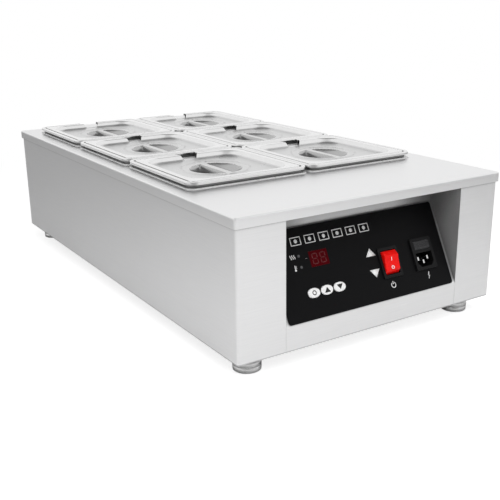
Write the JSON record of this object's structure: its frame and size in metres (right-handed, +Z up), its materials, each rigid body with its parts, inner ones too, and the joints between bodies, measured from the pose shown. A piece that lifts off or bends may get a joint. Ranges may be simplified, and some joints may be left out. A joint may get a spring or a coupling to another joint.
{
  "type": "chocolate melting tank",
  "caption": "Countertop chocolate melting tank: stainless cabinet on screw feet, lidded pans in a heated well, and a sloped black control panel with display, buttons and rocker switch.",
  "frame": {"origin": "on the floor under the middle of the deck", "axes": "+Z up, -Y to the front with the controls, +X to the right seen from the front"},
  "size_m": [0.36, 0.655, 0.18],
  "materials": {
    "cabinet_steel": "satin brushed",
    "deck_steel": "satin brushed",
    "base_steel": "mill finish",
    "fixing_steel": "zinc plated",
    "fascia_black": "printed satin black",
    "display_red": "clear red filter",
    "display_dark": "moulded",
    "lamp_lens": "clear lens",
    "board_green": "solder mask",
    "standoff_brass": "turned",
    "pin_nickel": "nickel plated",
    "component_black": "moulded",
    "relay_blue": "moulded",
    "transformer_core": "laminated",
    "button_white": "smooth",
    "rocker_red": "smooth",
    "fuse_glass": "clear",
    "heater_steel": "heat tinted",
    "insulation": "pressed mineral fibre",
    "cutout_ceramic": "matt",
    "wire_sleeve": "silicone sleeve",
    "pan_steel": "drawn, polished",
    "lid_steel": "pressed, polished",
    "foot_steel": "turned"
  },
  "bodies": {
    "cabinet": {"outer_wrap": "cabinet_steel", "front_panel": "cabinet_steel", "top_deck": "deck_steel", "base_plate": "base_steel", "well_tub": "base_steel", "base_screws": "fixing_steel", "foot_nuts": "fixing_steel", "element_clamps": "fixing_steel", "probe_clip": "fixing_steel", "temperature_probe": "fixing_steel", "control_fascia": "fascia_black", "display_window": "display_red", "display_module": "display_dark", "heat_lamp": "lamp_lens", "thermal_lamp": "lamp_lens", "control_board": "board_green", "board_standoffs": "standoff_brass", "switch_terminals": "standoff_brass", "earth_stud": "standoff_brass", "inlet_pins": "pin_nickel", "key_switches": "component_black", "switch_housing": "component_black", "inlet_housing": "component_black", "board_relay": "relay_blue", "board_transformer": "transformer_core", "heating_element": "heater_steel", "insulation_board": "insulation", "thermal_cutout": "cutout_ceramic", "terminal_block": "cutout_ceramic", "heater_leads": "wire_sleeve", "mains_leads": "wire_sleeve", "earth_lead": "wire_sleeve", "probe_lead": "wire_sleeve", "foot_collars": "foot_steel"},
    "pan_front_left": {"pan_front_left": "pan_steel"},
    "lid_front_left": {"lid_front_left": "lid_steel"},
    "pan_front_right": {"pan_front_right": "pan_steel"},
    "lid_front_right": {"lid_front_right": "lid_steel"},
    "pan_middle_left": {"pan_middle_left": "pan_steel"},
    "lid_middle_left": {"lid_middle_left": "lid_steel"},
    "pan_middle_right": {"pan_middle_right": "pan_steel"},
    "lid_middle_right": {"lid_middle_right": "lid_steel"},
    "pan_back_left": {"pan_back_left": "pan_steel"},
    "lid_back_left": {"lid_back_left": "lid_steel"},
    "pan_back_right": {"pan_back_right": "pan_steel"},
    "lid_back_right": {"lid_back_right": "lid_steel"},
    "button_set": {"button_set": "button_white"},
    "button_up": {"button_up": "button_white"},
    "button_down": {"button_down": "button_white"},
    "switch_rocker": {"switch_rocker": "rocker_red"},
    "fuse_drawer": {"fuse_drawer": "component_black", "fuses": "fuse_glass"},
    "foot_stud_front_left": {"foot_stud_front_left": "foot_steel"},
    "foot_cup_front_left": {"foot_cup_front_left": "foot_steel"},
    "foot_stud_front_right": {"foot_stud_front_right": "foot_steel"},
    "foot_cup_front_right": {"foot_cup_front_right": "foot_steel"},
    "foot_stud_back_left": {"foot_stud_back_left": "foot_steel"},
    "foot_cup_back_left": {"foot_cup_back_left": "foot_steel"},
    "foot_stud_back_right": {"foot_stud_back_right": "foot_steel"},
    "foot_cup_back_right": {"foot_cup_back_right": "foot_steel"}
  },
  "joints": [
    {"name": "pan_lift_front_left", "type": "slide", "parent": "cabinet", "child": "pan_front_left", "axis": [0, 0, 1], "range_m": [0, 0.12]},
    {"name": "lid_lift_front_left", "type": "slide", "parent": "pan_front_left", "child": "lid_front_left", "axis": [0, 0, 1], "range_m": [0, 0.06]},
    {"name": "pan_lift_front_right", "type": "slide", "parent": "cabinet", "child": "pan_front_right", "axis": [0, 0, 1], "range_m": [0, 0.12]},
    {"name": "lid_lift_front_right", "type": "slide", "parent": "pan_front_right", "child": "lid_front_right", "axis": [0, 0, 1], "range_m": [0, 0.06]},
    {"name": "pan_lift_middle_left", "type": "slide", "parent": "cabinet", "child": "pan_middle_left", "axis": [0, 0, 1], "range_m": [0, 0.12]},
    {"name": "lid_lift_middle_left", "type": "slide", "parent": "pan_middle_left", "child": "lid_middle_left", "axis": [0, 0, 1], "range_m": [0, 0.06]},
    {"name": "pan_lift_middle_right", "type": "slide", "parent": "cabinet", "child": "pan_middle_right", "axis": [0, 0, 1], "range_m": [0, 0.12]},
    {"name": "lid_lift_middle_right", "type": "slide", "parent": "pan_middle_right", "child": "lid_middle_right", "axis": [0, 0, 1], "range_m": [0, 0.06]},
    {"name": "pan_lift_back_left", "type": "slide", "parent": "cabinet", "child": "pan_back_left", "axis": [0, 0, 1], "range_m": [0, 0.12]},
    {"name": "lid_lift_back_left", "type": "slide", "parent": "pan_back_left", "child": "lid_back_left", "axis": [0, 0, 1], "range_m": [0, 0.06]},
    {"name": "pan_lift_back_right", "type": "slide", "parent": "cabinet", "child": "pan_back_right", "axis": [0, 0, 1], "range_m": [0, 0.12]},
    {"name": "lid_lift_back_right", "type": "slide", "parent": "pan_back_right", "child": "lid_back_right", "axis": [0, 0, 1], "range_m": [0, 0.06]},
    {"name": "button_set_press", "type": "slide", "parent": "cabinet", "child": "button_set", "axis": [0, 0.8896, -0.4567], "range_m": [0, 0.0008], "stiffness_N_per_m": 400},
    {"name": "button_up_press", "type": "slide", "parent": "cabinet", "child": "button_up", "axis": [0, 0.8896, -0.4567], "range_m": [0, 0.0008], "stiffness_N_per_m": 400},
    {"name": "button_down_press", "type": "slide", "parent": "cabinet", "child": "button_down", "axis": [0, 0.8896, -0.4567], "range_m": [0, 0.0008], "stiffness_N_per_m": 400},
    {"name": "rocker_tilt", "type": "hinge", "parent": "cabinet", "child": "switch_rocker", "pos_m": [0.03234, -0.30642, 0.08349], "axis": [1, 0, 0], "range_deg": [-20, 0]},
    {"name": "fuse_drawer_pull", "type": "slide", "parent": "cabinet", "child": "fuse_drawer", "axis": [0, -0.8896, 0.4567], "range_m": [0, 0.02]},
    {"name": "foot_travel_front_left", "type": "slide", "parent": "cabinet", "child": "foot_stud_front_left", "axis": [0, 0, 1], "range_m": [-0.006, 0]},
    {"name": "foot_turn_front_left", "type": "hinge", "parent": "foot_stud_front_left", "child": "foot_cup_front_left", "pos_m": [-0.15, -0.2975, 0], "axis": [0, 0, 1], "range_deg": [-1730, 0]},
    {"name": "foot_travel_front_right", "type": "slide", "parent": "cabinet", "child": "foot_stud_front_right", "axis": [0, 0, 1], "range_m": [-0.006, 0]},
    {"name": "foot_turn_front_right", "type": "hinge", "parent": "foot_stud_front_right", "child": "foot_cup_front_right", "pos_m": [0.15, -0.2975, 0], "axis": [0, 0, 1], "range_deg": [-1730, 0]},
    {"name": "foot_travel_back_left", "type": "slide", "parent": "cabinet", "child": "foot_stud_back_left", "axis": [0, 0, 1], "range_m": [-0.006, 0]},
    {"name": "foot_turn_back_left", "type": "hinge", "parent": "foot_stud_back_left", "child": "foot_cup_back_left", "pos_m": [-0.15, 0.2975, 0], "axis": [0, 0, 1], "range_deg": [-1730, 0]},
    {"name": "foot_travel_back_right", "type": "slide", "parent": "cabinet", "child": "foot_stud_back_right", "axis": [0, 0, 1], "range_m": [-0.006, 0]},
    {"name": "foot_turn_back_right", "type": "hinge", "parent": "foot_stud_back_right", "child": "foot_cup_back_right", "pos_m": [0.15, 0.2975, 0], "axis": [0, 0, 1], "range_deg": [-1730, 0]}
  ],
  "couplings": [
    {"joint": "foot_turn_front_left", "follows": "foot_travel_front_left", "rad_per_m": 5026.5},
    {"joint": "foot_turn_front_right", "follows": "foot_travel_front_right", "rad_per_m": 5026.5},
    {"joint": "foot_turn_back_left", "follows": "foot_travel_back_left", "rad_per_m": 5026.5},
    {"joint": "foot_turn_back_right", "follows": "foot_travel_back_right", "rad_per_m": 5026.5}
  ]
}
